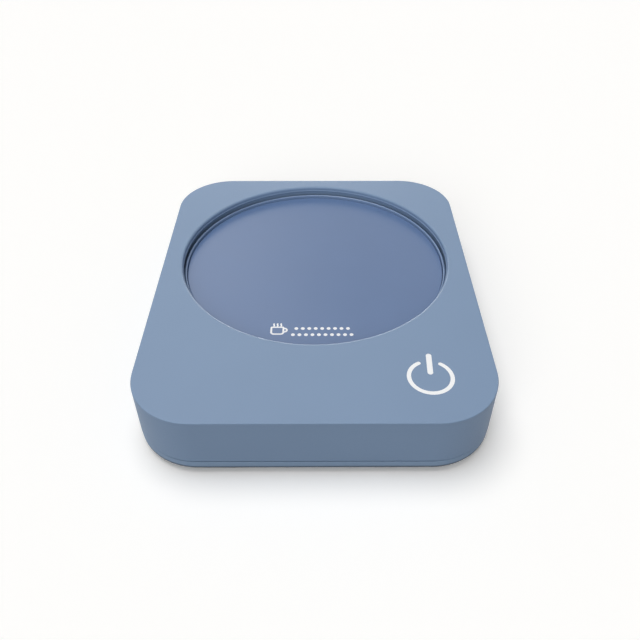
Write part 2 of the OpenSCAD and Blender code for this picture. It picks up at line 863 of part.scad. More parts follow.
// Places its children on the main board, measured from its left front corner
module on_board(x, y) {
    translate([board_x + x, board_y + y, z_parts]) children();
}

module controller_chip() {
    pins = 8;
    pitch = 1.27;
    body = [10, 4, 1.5];
    pin = [0.4, 1, 0.4];
    on_board(49.2, 11) {
        color(chip_black) translate([-body[0] / 2, -body[1] / 2, 0.1]) cube(body);
        color(steel) for (i = [0 : pins - 1], side = [-1, 1])
            translate([(i - (pins - 1) / 2) * pitch, side * (body[1] / 2 + 0.2), pin[2] / 2])
                cube(pin, center = true);
    }
}

module power_transistor() {
    body = [6.6, 6, 2.3];
    leg = [0.8, 2.2, 0.6];
    on_board(24, 7) {
        color(chip_black) translate([-body[0] / 2, -body[1] / 2, 0]) cube(body);
        color(steel) translate([-2.7, body[1] / 2 - 0.2, 0]) cube([5.4, 1.4, leg[2]]);
        color(steel) for (x = [-2.3, 2.3])
            translate([x - leg[0] / 2, -body[1] / 2 - 2, 0]) cube(leg);
    }
}

module choke_coil() {
    size = 7.2;
    h = 3.6;
    core_r = 1.6;
    window_r = 3.3;
    base = 0.8;
    on_board(13.5, 6.8) {
        color(chip_black) difference() {
            translate([-size / 2, -size / 2, 0]) cube([size, size, h]);
            translate([0, 0, base]) tube(window_r, core_r, h);
        }
        color(copper) translate([0, 0, base - 0.2]) tube(window_r - 0.2, core_r - 0.2, h - base - 0.2);
    }
}

module capacitors() {
    can_d = 6.2;
    can_h = 6.4;
    seat = [6.6, 6.6, 0.8];
    for (x = [33, 41]) on_board(x, 4.8) {
        color(chip_black) translate([-seat[0] / 2, -seat[1] / 2, 0]) cube(seat);
        color(steel) translate([0, 0, seat[2] - eps]) cylinder(d = can_d, h = can_h - seat[2]);
    }
}

module chip_resistors() {
    size = [1.2, 2, 0.5];
    for (i = [0 : 5])
        on_board(30 + i * 2.2, 10.9)
            color(chip_black) translate([-size[0] / 2, -size[1] / 2, 0]) cube(size);
}

// Side-entry socket with its plug in, for two leads that come in from the back
module lead_connector(x, w, h) {
    translate([board_x + x, conn_y, z_parts]) difference() {
        translate([-w / 2, -conn_l, 0]) cube([w, conn_l, h]);
        for (side = [-1, 1]) translate([side * w / 5, -conn_pin - fit, h / 2])
            rotate([-90, 0, 0]) cylinder(r = w / 7, h = conn_pin + 1);
    }
}

module supply_connector() {
    color(nylon_white) lead_connector(supply_conn_x, conn_w, conn_h);
}

module heater_connector() {
    color(nylon_white) lead_connector(heater_conn_x, conn_w, conn_h);
}

module sensor_connector() {
    color(nylon_white) lead_connector(sensor_conn_x, small_conn_w, small_conn_h);
}

// ---- Touch key ------------------------------------------------------------

// Coil that carries the key's signal from the board to the cover's skin. Its end turns lie flat.
module touch_spring() {
    steps = 16;
    flat = 0.9;
    flat_pitch = 2.2 * spring_wire_r;
    rise = z_top - key_skin_t - z_parts - 2 * spring_wire_r - fit;
    function height(u) =
        flat_pitch * (min(u, flat) + max(0, u - spring_turns + flat))
            + (rise - 2 * flat * flat_pitch)
                * min(1, max(0, (u - flat) / (spring_turns - 2 * flat)));
    path = [
        for (i = [0 : spring_turns * steps])
            let (u = i / steps)
                [spring_r * cos(360 * u), spring_r * sin(360 * u), spring_wire_r + height(u)]
    ];
    color(copper) translate([key_x, key_y, z_parts]) wire(path, spring_wire_r, 6);
}

module light_shroud() {
    color(nylon_white) translate([key_x, key_y, z_parts])
        tube(shroud_r, key_d / 2, z_ceiling - fit - z_parts);
}

module key_leds() {
    cup_h = 0.5;
    color(nylon_white) translate([key_x, key_y, z_parts])
        for (a = [45 : 90 : 315]) rotate(a) translate([led_circle_r, 0, 0]) difference() {
            translate([-led_size[0] / 2, -led_size[1] / 2, 0]) cube(led_size);
            translate([0, 0, led_size[2] - cup_h]) cylinder(r1 = 0.9, r2 = 1.15, h = cup_h + eps);
        }
}

// ---- Inlet ----------------------------------------------------------------

module inlet_board() {
    color(board_green) difference() {
        translate([-inlet_board_w / 2, inlet_front, z_inlet_board])
            cube([inlet_board_w, inlet_board_d, inlet_board_t]);
        at(inlet_screw_at) translate([0, 0, z_inlet_board - 1])
            cylinder(r = small_screw_d / 2 + 0.15, h = inlet_board_t + 2);
    }
}

module inlet_screws() {
    color(steel) at(inlet_screw_at)
        translate([0, 0, z_inlet_board + inlet_board_t]) mirror([0, 0, 1])
            pan_screw(small_screw_d, board_screw_l, small_head_d, small_head_h);
}

module usb_socket_shell() {
    color(steel) translate([0, usb_y, z_inlet]) rotate([90, 0, 0]) difference() {
        linear_extrude(usb_l) stadium(usb_w, usb_h);
        translate([0, 0, -1]) linear_extrude(usb_l + 1 - usb_back_t)
            stadium(usb_w - 2 * usb_wall, usb_h - 2 * usb_wall);
    }
}

module usb_socket_tongue() {
    color(chip_black)
        translate([-usb_tongue[0] / 2, usb_y - usb_l + usb_back_t, z_inlet - usb_tongue[2] / 2])
            cube(usb_tongue);
}

// ---- Leads ----------------------------------------------------------------

module supply_leads() {
    color([0.75, 0.15, 0.12]) wire(smooth_path(supply_route(-1), 3), supply_wire_r);
    color(chip_black) wire(smooth_path(supply_route(1), 3), supply_wire_r);
}

module heater_leads() {
    for (side = [-1, 1])
        color(nylon_white) wire(smooth_path(heater_route(side), 4), heater_wire_r);
}

module sensor_leads() {
    for (side = [-1, 1])
        color([0.2, 0.2, 0.22]) wire(smooth_path(sensor_route(side), 4), sensor_wire_r, 6);
}

// ---- Fixings and feet -----------------------------------------------------

module case_screws() {
    color(steel) at(case_screw_at) translate([0, 0, z_head])
        pan_screw(case_screw_d, case_screw_l, case_head_d, case_head_h);
}

module rubber_feet() {
    chamfer = 0.4;
    color(rubber_grey) at(foot_at) {
        translate([0, 0, chamfer]) cylinder(d = foot_d, h = z_base + foot_seat - chamfer);
        cylinder(d1 = foot_d - 2 * chamfer, d2 = foot_d, h = chamfer);
    }
}

top_cover();
base_cover();
plate_ring();
ring_gasket();
ring_screws();
heating_plate();
heater_film();
heater_track();
insulation_pad();
heat_shield();
shield_screws();
lead_grommet();
thermal_fuse();
thermistor();
main_board();
board_screws();
controller_chip();
power_transistor();
choke_coil();
capacitors();
chip_resistors();
supply_connector();
heater_connector();
sensor_connector();
touch_spring();
light_shroud();
key_leds();
inlet_board();
inlet_screws();
usb_socket_shell();
usb_socket_tongue();
supply_leads();
heater_leads();
sensor_leads();
case_screws();
rubber_feet();
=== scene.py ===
"""Looks of an electric mug warmer: the shells, plate, printed marks and finishes that show.

Sizes are in metres in the panel, and in millimetres while a mesh is being made.
"""
import math
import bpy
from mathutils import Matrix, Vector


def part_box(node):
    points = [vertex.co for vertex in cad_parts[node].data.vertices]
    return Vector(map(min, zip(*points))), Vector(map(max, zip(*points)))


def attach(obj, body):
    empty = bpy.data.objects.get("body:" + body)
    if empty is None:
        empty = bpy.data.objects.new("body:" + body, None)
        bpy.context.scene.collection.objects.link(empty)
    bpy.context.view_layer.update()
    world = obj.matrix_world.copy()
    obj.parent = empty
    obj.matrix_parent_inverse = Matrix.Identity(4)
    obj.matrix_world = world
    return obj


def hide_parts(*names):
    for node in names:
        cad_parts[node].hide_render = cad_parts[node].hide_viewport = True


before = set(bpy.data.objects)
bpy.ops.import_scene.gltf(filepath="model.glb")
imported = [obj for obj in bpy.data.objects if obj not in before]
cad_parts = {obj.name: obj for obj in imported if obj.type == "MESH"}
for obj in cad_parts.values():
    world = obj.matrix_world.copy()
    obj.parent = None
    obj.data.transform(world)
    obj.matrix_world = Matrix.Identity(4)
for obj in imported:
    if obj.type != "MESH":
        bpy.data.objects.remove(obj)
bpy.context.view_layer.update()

from types import SimpleNamespace

import bmesh
import bpy
from bpy.props import FloatProperty, FloatVectorProperty, IntProperty, PointerProperty
from bpy.types import Operator, Panel, PropertyGroup
from mathutils import Matrix, Vector

bl_info = {
    "name": "Mug Warmer",
    "version": (1, 0, 0),
    "blender": (4, 5, 0),
    "location": "3D View > Sidebar > Mug Warmer",
    "description": "Builds the shells, plate, printed marks and studio of a mug warmer",
    "category": "Object",
}

BODY = "root"
MM = 0.001


def cad_box(name):
    """Lowest and highest corner of a CAD node, in millimetres."""
    low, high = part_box(name)
    return Vector(low) / MM, Vector(high) / MM


COVER = cad_box("top_cover")
BASE = cad_box("base_cover")
RING = cad_box("plate_ring")
PLATE = cad_box("heating_plate")
GASKET = cad_box("ring_gasket")
FEET = cad_box("rubber_feet")
SHROUD = cad_box("light_shroud")
SOCKET = cad_box("usb_socket_shell")
TONGUE = cad_box("usb_socket_tongue")
WELL = (PLATE[0] + PLATE[1]) / 2           # its X and Y are the well's centre


# ---- Panel values -----------------------------------------------------------

def size(name, description, millimetres):
    """A length in the panel."""
    return FloatProperty(
        name=name, description=description, default=millimetres * MM, min=0, precision=5,
        unit="LENGTH", subtype="DISTANCE")


def angle(name, description, degrees):
    """An angle in the panel."""
    return FloatProperty(
        name=name, description=description, default=math.radians(degrees),
        unit="ROTATION", subtype="ANGLE")


def power(name, description, default):
    """A light's strength in the panel."""
    return FloatProperty(name=name, description=description, default=default, min=0)


def linear(code):
    """Linear colour of an sRGB hex value."""
    parts = [int(code[i:i + 2], 16) / 255 for i in (0, 2, 4)]
    return tuple(c / 12.92 if c <= 0.04045 else ((c + 0.055) / 1.055) ** 2.4 for c in parts)


def tint(name, description, code):
    """A colour in the panel, its default given as sRGB hex."""
    return FloatVectorProperty(
        name=name, description=description, default=linear(code), min=0, max=1, subtype="COLOR")


class WarmerHousing(PropertyGroup):
    """Sizes of the cover and the base"""
    corner: size("Corner radius", "Radius of the upright corners", 20.0)
    top_edge: size("Top edge", "Rounding of the cover's top edge", 0.3)
    seam_edge: size("Seam edge", "Rounding of the edges at the seam", 0.12)
    wall: size("Side wall", "Thickness of the cover's sides", 2.2)
    top: size("Top wall", "Thickness of the cover's top", 2.5)
    skin: size("Key skin", "Thickness of the cover's top over the key", 1.2)
    base_corner: size("Base corner radius", "Radius of the base's upright corners", 20.4)
    base_edge: size("Base edge", "Rounding of the base's lower edge", 1.5)
    band: size("Base band", "Height of the base below the seam", 3.6)
    floor: size("Floor", "Thickness of the base's floor", 2.2)
    tongue_in: size("Tongue inset", "Distance from the cover's side to the base's tongue", 2.35)
    tongue: size("Tongue", "Thickness of the base's tongue inside the cover", 1.2)
    tongue_rise: size("Tongue rise", "Height of the tongue above the cover's lower edge", 2.0)


class WarmerUnderside(PropertyGroup):
    """Sizes of the vents, screw holes and feet"""
    vents: IntProperty(name="Vent columns", description="Number of vent columns", default=9, min=1)
    vent_width: size("Vent width", "Width of a vent slot", 2.0)
    vent_pitch: size("Vent pitch", "Distance from one vent column to the next", 5.0)
    vent_field: size("Vent field", "Radius of the circle that the vents fill", 26.0)
    vent_bar: size("Vent bar", "Width of the bar across the middle of the vents", 3.0)
    head_hole: size("Head hole", "Diameter of the hole for a screw's head", 5.4)
    head_seat: size(
        "Head seat", "Height of the screw heads' seats above the floor's underside", 3.4)
    shank_hole: size("Shank hole", "Diameter of the hole for a screw's shank", 2.9)
    boss: size("Boss", "Diameter of the bosses round the screws, clear of the tongue", 5.6)
    rear_screw_in: size(
        "Rear screws", "Distance from the rear screws to the sides and the back", 10.5)
    front_screw_side: size("Front screws, side", "Distance from the front screws to the sides", 7.8)
    front_screw_back: size(
        "Front screws, front", "Distance from the front screws to the front", 31.0)
    foot: size("Foot", "Diameter of a foot", 12.0)
    foot_seat: size("Foot seat", "Depth of the seats that the feet are stuck in", 0.6)


class WarmerWell(PropertyGroup):
    """Sizes of the heated well"""
    opening: size("Opening", "Diameter of the cover's round opening", 96.8)
    opening_edge: size("Opening edge", "Rounding of the opening's edge", 0.75)
    step_drop: size("Step depth", "Depth of the step inside the opening", 1.5)
    step: size("Step", "Width of the step inside the opening", 0.2)
    step_wall: size("Step thickness", "Thickness of the step's edge above the groove", 0.4)
    groove: size("Groove", "Depth of the groove behind the step's edge", 0.7)
    collar: size("Collar wall", "Wall of the collar behind the groove", 1.4)
    lip_outer: size("Lip, outside", "Outer radius of the surround's lip", 48.0)
    lip_inner: size("Lip, inside", "Inner radius of the surround's lip", 47.3)
    lip_edge: size("Lip rounding", "Rounding of the lip's edges", 0.3)
    ledge: size("Ledge", "Inner radius of the ledge under the plate", 44.6)
    ledge_wall: size("Ledge thickness", "Thickness of the ledge", 1.2)
    flange: size("Flange", "Outer radius of the surround's flange", 50.8)
    flange_wall: size("Flange thickness", "Thickness of the flange", 1.5)
    plate_edge: size("Plate edge", "Rounding of the plate's edge", 0.3)
    plate: size("Plate thickness", "Thickness of the heating plate", 1.5)


class WarmerMarks(PropertyGroup):
    """Sizes and places of the printed marks"""
    key_x: size("Key X", "Touch mark to the right of the middle", 34.7)
    key_front: size("Key front", "Distance from the touch mark to the front", 17.85)
    key_turn: angle("Key turn", "Turn of the touch mark, clockwise", 3.0)
    ring: size("Ring", "Radius of the middle of the ring's line", 6.5)
    gap: angle("Gap", "Half angle of the ring's gap", 30.5)
    line: size("Line", "Width of the touch mark's lines", 1.3)
    bar_low: size("Bar, lower end", "Lower end of the bar above the ring's centre", 1.0)
    bar_high: size("Bar, upper end", "Upper end of the bar above the ring's centre", 9.9)
    film: size("Ink", "Height of the ink on the surface", 0.02)
    mug_x: size("Mug X", "Mug sign to the left of the well's middle", 12.4)
    sign_front: size("Sign", "Distance from the signs to the well's centre", 36.2)
    thin_line: size("Thin line", "Width of the mug sign's lines", 0.62)
    dot: size("Dot", "Diameter of a dot", 1.3)
    dot_pitch: size("Dot pitch", "Distance from one dot to the next", 2.15)
    row_pitch: size("Row pitch", "Distance from one row of dots to the next", 3.05)


class WarmerFinishes(PropertyGroup):
    """Colours of the parts that show"""
    cover: tint("Cover", "Moulded cover", "7991af")
    base: tint("Base", "Moulded base", "8098b4")
    ring: tint("Surround", "Surround of the plate", "7890b2")
    plate: tint("Plate", "Coated heating plate", "5e779f")
    ink: tint("Ink", "Printed marks", "fbfcfd")
    rubber: tint("Rubber", "Feet", "3b4049")


class WarmerStudio(PropertyGroup):
    """Camera and light"""
    camera_x: size("Camera, right", "Camera to the right of the object's middle", 1.17)
    camera_front: size("Camera, front", "Camera in front of the object's middle", 187.1)
    camera_up: size("Camera, up", "Camera above the floor", 166.0)
    pitch: angle("Pitch", "Camera's angle below the horizon", 41.29)
    yaw: angle("Yaw", "Camera's turn to the right", 0.18)
    focal: FloatProperty(
        name="Lens", description="Focal length in millimetres", default=37.31, min=1)
    key: power("Key light", "Strength of the soft light from above", 1.55)
    key_spread: angle("Key spread", "Width of the soft light, as seen from the object", 44)
    key_height: angle("Key height", "Angle of the soft light above the horizon", 78)
    key_left: angle("Key left", "Angle of the soft light to the left of straight behind", 50)
    sky: power("Sky", "Strength of the light from all round", 0.2)
    fill: power("Fill light", "Strength of the soft light from the front", 1.15)
    fill_spread: angle("Fill spread", "Width of the fill light, as seen from the object", 50)
    fill_height: angle("Fill height", "Angle of the fill light above the horizon", 32)
    fill_left: angle("Fill left", "Angle of the fill light to the left of straight behind", 162)
    sheen: power("Sheen light", "Strength of the broad light in the sheen", 0.4)
    sheen_spread: angle("Sheen spread", "Width of the sheen light, as seen from the object", 40)
    sheen_height: angle("Sheen height", "Angle of the sheen light above the horizon", 41)
    sheen_left: angle("Sheen left", "Angle of the sheen light to the left of straight behind", 28)
    rim: power("Rim light", "Strength of the light that edges catch", 1.4)
    rim_spread: angle("Rim spread", "Width of the rim light, as seen from the object", 4)
    rim_height: angle("Rim height", "Angle of the rim light above the horizon", 2)
    rim_left: angle("Rim left", "Angle of the rim light to the left of straight behind", 0)
    floor_glow: power(
        "Floor white", "White added to the floor for the camera and reflections", 0.03)


def in_mm(group):
    """The group's values, its lengths in millimetres."""
    values = {}
    for key in type(group).__annotations__:
        value = getattr(group, key)
        values[key] = value / MM if group.bl_rna.properties[key].unit == "LENGTH" else value
    return SimpleNamespace(**values)


# ---- Meshes -----------------------------------------------------------------

def loose(bm, known):
    """Vertices and edges that aren't among the known vertices."""
    verts = [v for v in bm.verts if v not in known]
    return verts + list({e for v in verts for e in v.link_edges})


def only(kind, geom):
    """The geometry of one kind."""
    return [g for g in geom if isinstance(g, kind)]


def verts_of(geom):
    return only(bmesh.types.BMVert, geom)


def section(bm, corners, closed=False):
    """Line through (x, z, rounding) corners in the XZ plane. Returns its vertices and edges."""
    known = set(bm.verts)
    verts = [bm.verts.new((x, 0, z)) for x, z, r in corners]
    for pair in zip(verts, verts[1:] + verts[:1] if closed else verts[1:]):
        bm.edges.new(pair)
    for vert, (x, z, r) in zip(verts, corners):
        if r > 0:
            bmesh.ops.bevel(
                bm, geom=[vert], offset=r, offset_type="OFFSET", segments=max(3, round(8 * r)),
                profile=0.5, affect="VERTICES", material=-1)
    return loose(bm, known)


def turn_round(bm, geom, x, y, steps=192):
    """Turns a section all the way round an upright axis at x, y."""
    bmesh.ops.translate(bm, vec=(x, y, 0), verts=verts_of(geom))
    bmesh.ops.spin(
        bm, geom=geom, cent=(x, y, 0), axis=(0, 0, 1), angle=math.tau, steps=steps, use_merge=True)


def run_round_plan(bm, geom, half_w, half_d, steps=28):
    """Runs a section round a plan whose corners turn about the points at half_w, half_d."""
    bmesh.ops.translate(bm, vec=(half_w, -half_d, 0), verts=verts_of(geom))
    corners = [(half_w, half_d), (-half_w, half_d), (-half_w, -half_d), (half_w, -half_d)]
    start = Vector((half_w, -half_d, 0))
    for corner in corners:
        centre = Vector((*corner, 0))
        side = bmesh.ops.extrude_edge_only(bm, edges=only(bmesh.types.BMEdge, geom))["geom"]
        bmesh.ops.translate(bm, vec=centre - start, verts=verts_of(side))
        end = [g for g in side if not isinstance(g, bmesh.types.BMFace)]
        geom = bmesh.ops.spin(
            bm, geom=end, cent=centre, axis=(0, 0, 1), angle=math.pi / 2, steps=steps)["geom_last"]
        start = centre
    bmesh.ops.remove_doubles(bm, verts=bm.verts, dist=0.001)


def loop(bm, length, width, place, segments):
    """A slot's outline with round ends, or a circle where the length is the width."""
    verts = bmesh.ops.create_circle(bm, segments=segments, radius=width / 2)["verts"]
    bmesh.ops.rotate(bm, matrix=Matrix.Rotation(math.pi / segments, 3, "Z"), verts=verts)
    for side in (-1, 1):
        half = [v for v in verts if v.co.x * side > 0]
        bmesh.ops.translate(bm, vec=(side * (length - width) / 2, 0, 0), verts=half)
    bmesh.ops.transform(bm, matrix=place, verts=verts)
    return only(bmesh.types.BMEdge, loose(bm, set(bm.verts) - set(verts)))


def tunnel(bm, rings, place, segments=32):
    """Walls through (length, width, depth) outlines in turn. Returns the end outlines."""
    loops = [
        loop(bm, length, width, place @ Matrix.Translation((0, 0, depth)), segments)
        for length, width, depth in rings]
    for first, second in zip(loops, loops[1:]):
        bmesh.ops.bridge_loops(bm, edges=first + second)
    return loops[0], loops[-1]


def eased(length, width, depth, edge):
    """Outlines, for a tunnel, of a hole whose mouth at a depth has a softened edge."""
    return [
        (length + 2 * edge, width + 2 * edge, depth),
        (length + 0.6 * edge, width + 0.6 * edge, depth + 0.3 * edge),
        (length, width, depth + edge),
    ]


def fill(bm, edges, normal):
    """Fills the flat area between outlines."""
    bmesh.ops.triangle_fill(bm, edges=edges, use_beauty=True, use_dissolve=False, normal=normal)


def open_edges(bm, height):
    """Level edges at a height that have a face on one side only."""
    return [
        e for e in bm.edges
        if len(e.link_faces) < 2 and all(abs(v.co.z - height) < 0.001 for v in e.verts)]


def piece(name, bm, material, stands_for=(), crease=35):
    """Makes the mesh an object, in metres, on the body.

    Edges that turn by more than the crease, in degrees, stay sharp.
    """
    bmesh.ops.remove_doubles(bm, verts=bm.verts, dist=0.0005)
    bmesh.ops.recalc_face_normals(bm, faces=bm.faces)
    bmesh.ops.scale(bm, vec=(MM, MM, MM), verts=bm.verts)
    for face in bm.faces:
        face.smooth = True
    for edge in bm.edges:
        edge.smooth = edge.calc_face_angle(0) < math.radians(crease)
    mesh = bpy.data.meshes.new(name)
    bm.to_mesh(mesh)
    bm.free()
    mesh.materials.append(material)
    made = bpy.data.objects.new(name, mesh)
    bpy.context.scene.collection.objects.link(made)
    made.modifiers.new("Even shading", "WEIGHTED_NORMAL").keep_sharp = True
    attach(made, BODY)
    if stands_for:
        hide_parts(*stands_for)
    return made


def cover_mesh(housing, well, film):
    """Cover with its round opening, groove, hanging collar, key recess and inlet mouth."""
    bm = bmesh.new()
    low, high = COVER
    r = housing.corner
    half_w, half_d = high.x - r, high.y - r
    top = high.z - film                      # the ink on it reaches the CAD's top
    ceiling = high.z - housing.top
    inside = r - housing.wall
    # Sections end in short level strips, where the fills of the flat areas begin.
    top_strip, ceiling_strip, opening_strip, collar_strip = 3, 0.5, 0.3, 0.2
    rim = section(bm, [
        (r - top_strip, top, 0),
        (r, top, housing.top_edge),
        (r, low.z, housing.seam_edge),
        (inside, low.z, housing.seam_edge),
        (inside, ceiling, 0),
        (inside - ceiling_strip, ceiling, 0),
    ])
    run_round_plan(bm, rim, half_w, half_d)
    hole = well.opening / 2
    step_in = hole - well.step
    step_top = high.z - well.step_drop
    step_low = step_top - well.step_wall
    groove = step_in + well.groove
    collar_out = groove + well.collar
    collar = section(bm, [
        (hole + well.opening_edge + opening_strip, top, 0),
        (hole, top, well.opening_edge),
        (hole, step_top, 0.05),
        (step_in, step_top, 0.12),
        (step_in, step_low, 0.1),
        (groove, step_low, 0.1),
        (groove, GASKET[1].z, 0.1),
        (collar_out, GASKET[1].z, 0.2),
        (collar_out, ceiling, 0),
        (collar_out + collar_strip, ceiling, 0),
    ])
    turn_round(bm, collar, WELL.x, WELL.y)
    fill(bm, open_edges(bm, top), (0, 0, 1))
    key = (SHROUD[0] + SHROUD[1]) / 2
    shroud_wall = 0.8
    key_d = SHROUD[1].x - SHROUD[0].x - 2 * shroud_wall
    skin = tunnel(
        bm, [(key_d, key_d, ceiling), (key_d, key_d, high.z - housing.skin)],
        Matrix.Translation((key.x, key.y, 0)), 64)[1]
    bmesh.ops.contextual_create(bm, geom=skin)
    fill(bm, open_edges(bm, ceiling), (0, 0, -1))
    cut_inlet(bm, high.y, housing.wall)
    return bm


def cut_inlet(bm, back, wall):
    """Opens the rear wall: a shallow pocket for a plug's grip, and the inlet's mouth in it."""
    bm.normal_update()
    flat = [f for f in bm.faces if f.normal.y > 0.99 or f.normal.y < -0.99]
    flat.sort(key=lambda f: -f.calc_area() if f.calc_center_median().y > 0 else 0)
    outer, inner = sorted(flat[:2], key=lambda f: -f.calc_center_median().y)
    outer_edges, inner_edges = list(outer.edges), list(inner.edges)
    bmesh.ops.delete(bm, geom=[outer, inner], context="FACES_ONLY")
    centre = (SOCKET[0] + SOCKET[1]) / 2
    pocket_w, pocket_h, pocket_depth = 12.6, 6.6, 0.7
    clearance = 0.6                          # of the mouth round the socket
    mouth_w = SOCKET[1].x - SOCKET[0].x + clearance
    mouth_h = SOCKET[1].z - SOCKET[0].z + clearance
    edge = 0.2
    place = Matrix.Translation((centre.x, back, centre.z)) @ Matrix.Rotation(math.pi / 2, 4, "X")
    first, last = tunnel(bm, [
        *eased(pocket_w, pocket_h, 0, edge),
        (pocket_w, pocket_h, pocket_depth),
        *eased(mouth_w, mouth_h, pocket_depth, edge),
        (mouth_w, mouth_h, wall),
    ], place, 48)
    fill(bm, outer_edges + first, (0, 1, 0))
    fill(bm, inner_edges + last, (0, -1, 0))


def screw_points(under):
    """Centres of the four case screws."""
    half_w, half_d = COVER[1].x, COVER[1].y
    rear = (half_w - under.rear_screw_in, half_d - under.rear_screw_in)
    front = (half_w - under.front_screw_side, -half_d + under.front_screw_back)
    return [(side * x, y) for side in (-1, 1) for x, y in (rear, front)]


def foot_points(under):
    """Centres of the four feet."""
    x, y = FEET[1].x - under.foot / 2, FEET[1].y - under.foot / 2
    return [(side * x, end * y) for side in (-1, 1) for end in (-1, 1)]


def base_mesh(housing, under):
    """Base with its band and tongue, vents, screw wells and seats for the feet."""
    bm = bmesh.new()
    low, high = BASE
    r = housing.corner
    half_w, half_d = COVER[1].x - r, COVER[1].y - r
    seam = low.z + housing.band
    floor = low.z + housing.floor
    tongue_top = COVER[0].z + housing.tongue_rise
    outside = r - housing.tongue_in
    inside = outside - housing.tongue
    # Sections end in short level strips, where the fills of the flat areas begin.
    floor_strip, sole_strip, seam_strip = 0.1, 2.5, 0.5
    rim = section(bm, [
        (outside, seam, 0),
        (outside, tongue_top, 0.3),
        (inside, tongue_top, 0.3),
        (inside, floor, 0),
        (inside - floor_strip, floor, 0),
    ])
    run_round_plan(bm, rim, half_w, half_d)
    wide = housing.base_corner
    rim = section(bm, [
        (wide - sole_strip, low.z, 0),
        (wide, low.z, housing.base_edge),
        (wide, seam, housing.seam_edge),
        (wide - seam_strip, seam, 0),
    ])
    run_round_plan(bm, rim, high.x - wide, high.y - wide)
    fill(bm, open_edges(bm, seam), (0, 0, 1))
    edge = 0.25
    for column in range(under.vents):
        x = (column - (under.vents - 1) / 2) * under.vent_pitch
        length = math.sqrt(under.vent_field ** 2 - x ** 2) - under.vent_bar / 2
        for side in (-1, 1):
            y = WELL.y + side * (under.vent_bar + length) / 2
            tunnel(bm, [
                *eased(length, under.vent_width, low.z, edge),
                (length, under.vent_width, floor),
            ], Matrix.Translation((x, y, 0)) @ Matrix.Rotation(math.pi / 2, 4, "Z"), 24)
    seat = low.z + under.head_seat
    boss_rise = 3.2                          # above the seat
    boss_top = seat + boss_rise
    for x, y in screw_points(under):
        tunnel(bm, [(d, d, z) for d, z in (
            (under.head_hole + 2 * edge, low.z),
            (under.head_hole, low.z + edge),
            (under.head_hole, seat),
            (under.shank_hole, seat),
            (under.shank_hole, boss_top),
            (under.boss, boss_top),
            (under.boss, floor))], Matrix.Translation((x, y, 0)), 48)
    foot_play = 0.1
    for x, y in foot_points(under):
        d = under.foot + 2 * foot_play
        seat_top = tunnel(
            bm, [(d, d, low.z), (d, d, low.z + under.foot_seat)],
            Matrix.Translation((x, y, 0)), 64)[1]
        bmesh.ops.contextual_create(bm, geom=seat_top)
    fill(bm, open_edges(bm, low.z), (0, 0, -1))
    fill(bm, open_edges(bm, floor), (0, 0, 1))
    return bm


def surround_mesh(well):
    """Surround with the lip round the plate, the ledge under it and the flange outside."""
    bm = bmesh.new()
    seat = PLATE[1].z - well.plate
    ledge_low = seat - well.ledge_wall
    flange_low = GASKET[0].z - well.flange_wall
    wall = section(bm, [
        (well.ledge, ledge_low, 0.15),
        (well.lip_outer, min(ledge_low, flange_low), 0),
        (well.flange, flange_low, 0.15),
        (well.flange, GASKET[0].z, 0.15),
        (well.lip_outer, GASKET[0].z, 0),
        (well.lip_outer, RING[1].z, well.lip_edge),
        (well.lip_inner, RING[1].z, well.lip_edge),
        (well.lip_inner, seat, 0),
        (well.ledge, seat, 0.15),
    ], closed=True)
    turn_round(bm, wall, WELL.x, WELL.y)
    return bm


def plate_mesh(well):
    """Round heating plate with a softened edge."""
    bm = bmesh.new()
    radius = (PLATE[1].x - PLATE[0].x) / 2
    low = PLATE[1].z - well.plate
    disc = section(bm, [
        (0, PLATE[1].z, 0),
        (radius - 3, PLATE[1].z, 0),
        (radius, PLATE[1].z, well.plate_edge),
        (radius, low, 0.15),
        (0, low, 0),
    ])
    turn_round(bm, disc, WELL.x, WELL.y)
    return bm


def feet_mesh(under):
    """Four moulded feet, each with a grip ring on its sole."""
    bm = bmesh.new()
    low, high = FEET
    r = under.foot / 2
    sole = low.z + 0.25                      # the grip rings stand below it
    for x, y in foot_points(under):
        foot = section(bm, [
            (0, sole, 0),
            (r * 0.36, sole, 0.08),
            (r * 0.4, low.z, 0.12),
            (r * 0.5, low.z, 0.12),
            (r * 0.54, sole, 0.08),
            (r * 0.72, sole, 0.08),
            (r * 0.76, low.z, 0.12),
            (r, low.z, 0.4),
            (r, high.z, 0),
            (0, high.z, 0),
        ])
        turn_round(bm, foot, x, y, 64)
    return bm


# ---- Printed marks ----------------------------------------------------------

def stroke(bm, x, y, heading, width, moves, ends="round"):
    """Draws a flat line of a pen that starts at x, y.

    A move is (length, 0), or (radius, degrees) for a turn to the left. Angles are in degrees.
    """
    facing = Matrix.Rotation(math.radians(heading), 3, "Z")
    pen, way, left = Vector((x, y, 0)), facing @ Vector((1, 0, 0)), facing @ Vector((0, 1, 0))
    start = [bm.verts.new(pen + left * side * width / 2) for side in (-1, 0, 1)]
    geom = start + [bm.edges.new(pair) for pair in zip(start, start[1:])]
    if ends == "round":
        round_end(bm, geom, left, math.pi)
    for reach, degrees in moves:
        if degrees == 0:
            made = bmesh.ops.extrude_edge_only(bm, edges=only(bmesh.types.BMEdge, geom))["geom"]
            bmesh.ops.translate(bm, vec=way * reach, verts=verts_of(made))
            geom = [g for g in made if not isinstance(g, bmesh.types.BMFace)]
            pen = pen + way * reach
            continue
        centre = pen + left * math.copysign(reach, degrees)
        turn = Matrix.Rotation(math.radians(degrees), 3, "Z")
        geom = bmesh.ops.spin(
            bm, geom=geom, cent=centre, axis=(0, 0, 1), angle=math.radians(degrees),
            steps=max(4, round(abs(degrees) / 6)))["geom_last"]
        pen, way, left = centre + turn @ (pen - centre), turn @ way, turn @ left
    if ends == "round":
        round_end(bm, geom, left, -math.pi)


